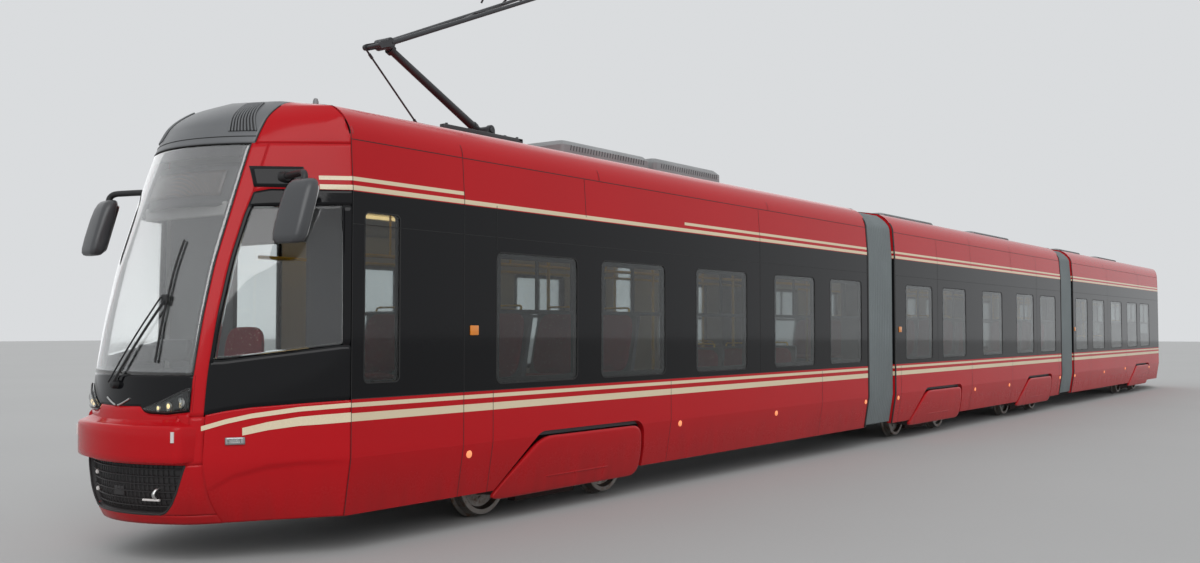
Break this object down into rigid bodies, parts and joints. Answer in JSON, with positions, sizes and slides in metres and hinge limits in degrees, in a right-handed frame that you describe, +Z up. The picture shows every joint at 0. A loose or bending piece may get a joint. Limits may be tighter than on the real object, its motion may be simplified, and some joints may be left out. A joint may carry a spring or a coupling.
{
  "type": "three-section articulated low-floor tram",
  "caption": "Articulated low-floor tram in three sections with pivoting bogies, bellows between the cars and a raised single-arm pantograph.",
  "frame": {"origin": "on the floor below the middle of the tram", "axes": "-X towards the front, -Y towards the left side, +Z up"},
  "size_m": [31.9997, 2.7, 5.3403],
  "materials": {
    "red_paint": "gloss",
    "charcoal_paint": "satin",
    "roof_grey": "satin",
    "tinted_glass": "gloss",
    "black_plastic": "matte",
    "bellows_rubber": "matte",
    "bogie_paint": "satin",
    "wheel_steel": "satin",
    "floor_grey": "matte",
    "seat_fabric": "matte",
    "inner_panel": "matte",
    "lamp_clear": "gloss",
    "lamp_red": "gloss",
    "pantograph_metal": "satin"
  },
  "bodies": {
    "middle_car": {"middle_bogie_covers": "red_paint", "middle_doors": "red_paint", "middle_floor": "floor_grey", "middle_left_wall": "red_paint", "middle_right_wall": "red_paint", "middle_roof": "red_paint", "middle_roof_units": "roof_grey", "middle_seats": "seat_fabric", "middle_windows": "tinted_glass", "front_bellows": "bellows_rubber", "rear_bellows": "bellows_rubber"},
    "front_car": {"front_bogie_covers": "red_paint", "front_bumper": "red_paint", "front_doors": "red_paint", "front_floor": "floor_grey", "front_left_wall": "red_paint", "front_mask": "black_plastic", "front_right_wall": "red_paint", "front_roof": "red_paint", "front_roof_units": "roof_grey", "front_seats": "seat_fabric", "front_windows": "tinted_glass", "cab_shell": "red_paint", "windscreen": "tinted_glass", "roof_cap": "charcoal_paint", "grille": "black_plastic", "headlamps": "lamp_clear", "driver_desk": "black_plastic", "cab_partition": "inner_panel", "mirrors": "black_plastic", "wiper": "black_plastic", "pantograph_base": "pantograph_metal"},
    "rear_car": {"rear_bogie_covers": "red_paint", "rear_doors": "red_paint", "rear_floor": "floor_grey", "rear_left_wall": "red_paint", "rear_right_wall": "red_paint", "rear_roof": "red_paint", "rear_roof_units": "roof_grey", "rear_screen": "tinted_glass", "rear_seats": "seat_fabric", "rear_windows": "tinted_glass", "tail_shell": "red_paint", "tail_lamps": "lamp_red"},
    "bogie_1": {"bogie_1_frame": "bogie_paint"},
    "bogie_1_front_wheels": {"bogie_1_front_wheelset": "wheel_steel"},
    "bogie_1_rear_wheels": {"bogie_1_rear_wheelset": "wheel_steel"},
    "bogie_2": {"bogie_2_frame": "bogie_paint"},
    "bogie_2_front_wheels": {"bogie_2_front_wheelset": "wheel_steel"},
    "bogie_2_rear_wheels": {"bogie_2_rear_wheelset": "wheel_steel"},
    "bogie_3": {"bogie_3_frame": "bogie_paint"},
    "bogie_3_front_wheels": {"bogie_3_front_wheelset": "wheel_steel"},
    "bogie_3_rear_wheels": {"bogie_3_rear_wheelset": "wheel_steel"},
    "bogie_4": {"bogie_4_frame": "bogie_paint"},
    "bogie_4_front_wheels": {"bogie_4_front_wheelset": "wheel_steel"},
    "bogie_4_rear_wheels": {"bogie_4_rear_wheelset": "wheel_steel"},
    "lower_arm": {"pantograph_lower_arm": "pantograph_metal"},
    "upper_arm": {"pantograph_upper_arm": "pantograph_metal"},
    "coupling_rod": {"pantograph_coupling_rod": "pantograph_metal"},
    "collector_head": {"pantograph_head": "pantograph_metal"}
  },
  "joints": [
    {"name": "front_articulation", "type": "hinge", "parent": "middle_car", "child": "front_car", "pos_m": [-4.95, 0, 0.5], "axis": [0, 0, 1], "range_deg": [-20, 20], "deforming": ["front_bellows"]},
    {"name": "rear_articulation", "type": "hinge", "parent": "middle_car", "child": "rear_car", "pos_m": [4.95, 0, 0.5], "axis": [0, 0, 1], "range_deg": [-20, 20], "deforming": ["rear_bellows"]},
    {"name": "bogie_1_pivot", "type": "hinge", "parent": "front_car", "child": "bogie_1", "pos_m": [-12.05, 0, 0.5], "axis": [0, 0, 1], "range_deg": [-8, 8]},
    {"name": "bogie_1_front_axle", "type": "hinge", "parent": "bogie_1", "child": "bogie_1_front_wheels", "pos_m": [-12.95, 0, 0.328], "axis": [0, 1, 0], "continuous": true},
    {"name": "bogie_1_rear_axle", "type": "hinge", "parent": "bogie_1", "child": "bogie_1_rear_wheels", "pos_m": [-11.15, 0, 0.328], "axis": [0, 1, 0], "continuous": true},
    {"name": "bogie_2_pivot", "type": "hinge", "parent": "middle_car", "child": "bogie_2", "pos_m": [-2.68, 0, 0.5], "axis": [0, 0, 1], "range_deg": [-8, 8]},
    {"name": "bogie_2_front_axle", "type": "hinge", "parent": "bogie_2", "child": "bogie_2_front_wheels", "pos_m": [-3.58, 0, 0.328], "axis": [0, 1, 0], "continuous": true},
    {"name": "bogie_2_rear_axle", "type": "hinge", "parent": "bogie_2", "child": "bogie_2_rear_wheels", "pos_m": [-1.78, 0, 0.328], "axis": [0, 1, 0], "continuous": true},
    {"name": "bogie_3_pivot", "type": "hinge", "parent": "middle_car", "child": "bogie_3", "pos_m": [2.68, 0, 0.5], "axis": [0, 0, 1], "range_deg": [-8, 8]},
    {"name": "bogie_3_front_axle", "type": "hinge", "parent": "bogie_3", "child": "bogie_3_front_wheels", "pos_m": [1.78, 0, 0.328], "axis": [0, 1, 0], "continuous": true},
    {"name": "bogie_3_rear_axle", "type": "hinge", "parent": "bogie_3", "child": "bogie_3_rear_wheels", "pos_m": [3.58, 0, 0.328], "axis": [0, 1, 0], "continuous": true},
    {"name": "bogie_4_pivot", "type": "hinge", "parent": "rear_car", "child": "bogie_4", "pos_m": [12.05, 0, 0.5], "axis": [0, 0, 1], "range_deg": [-8, 8]},
    {"name": "bogie_4_front_axle", "type": "hinge", "parent": "bogie_4", "child": "bogie_4_front_wheels", "pos_m": [11.15, 0, 0.328], "axis": [0, 1, 0], "continuous": true},
    {"name": "bogie_4_rear_axle", "type": "hinge", "parent": "bogie_4", "child": "bogie_4_rear_wheels", "pos_m": [12.95, 0, 0.328], "axis": [0, 1, 0], "continuous": true},
    {"name": "pantograph_lift", "type": "hinge", "parent": "front_car", "child": "lower_arm", "pos_m": [-12.12, 0, 3.56], "axis": [0, 1, 0], "range_deg": [-18, 8]},
    {"name": "pantograph_knee", "type": "hinge", "parent": "lower_arm", "child": "upper_arm", "pos_m": [-13.37831, 0, 4.17372], "axis": [0, 1, 0], "range_deg": [-18.22, 41]},
    {"name": "coupling_rod_pivot", "type": "hinge", "parent": "front_car", "child": "coupling_rod", "pos_m": [-12.8, 0.1155, 3.5], "axis": [0, 1, 0], "range_deg": [-24.3, 10.8]},
    {"name": "collector_head_pivot", "type": "hinge", "parent": "upper_arm", "child": "collector_head", "pos_m": [-11.03981, 0, 5.19053], "axis": [0, 1, 0], "range_deg": [-23, 10.22]}
  ],
  "couplings": [
    {"joint": "pantograph_knee", "follows": "pantograph_lift", "ratio": -2.278},
    {"joint": "coupling_rod_pivot", "follows": "pantograph_lift", "ratio": 1.35},
    {"joint": "collector_head_pivot", "follows": "pantograph_lift", "ratio": 1.278}
  ]
}
